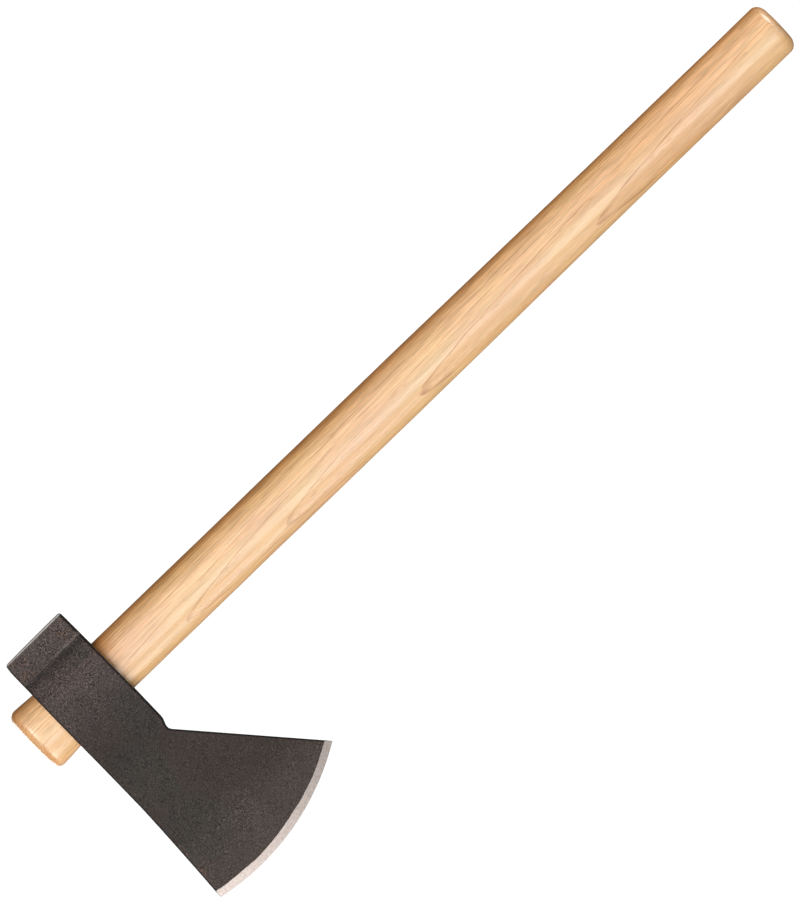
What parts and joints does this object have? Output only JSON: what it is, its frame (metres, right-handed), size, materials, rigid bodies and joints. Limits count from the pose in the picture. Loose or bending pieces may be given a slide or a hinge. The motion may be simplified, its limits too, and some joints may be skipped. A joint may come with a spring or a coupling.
{
  "type": "hand axe",
  "caption": "Hatchet-sized broad axe: dark forged head with a bearded blade and square hammer poll, slip-fitted on a straight oval hickory haft.",
  "frame": {"origin": "centre of the flat end of the grip, at the haft's lower end", "axes": "+Z along the haft towards the head, +X towards the hammer poll (the blade points to -X), -Y and +Y out of the two cheeks"},
  "size_m": [0.1573, 0.0372, 0.508],
  "materials": {
    "forged_steel": "dark forge scale, with bare ground steel on the bevel and the poll face",
    "hickory": "sanded, with a light satin oil"
  },
  "bodies": {
    "head": {"axe_head": "forged_steel"},
    "handle": {"haft": "hickory"}
  },
  "joints": [
    {"name": "haft_slide", "type": "slide", "parent": "head", "child": "handle", "axis": [0, 0, 1], "range_m": [0, 0.5]}
  ]
}
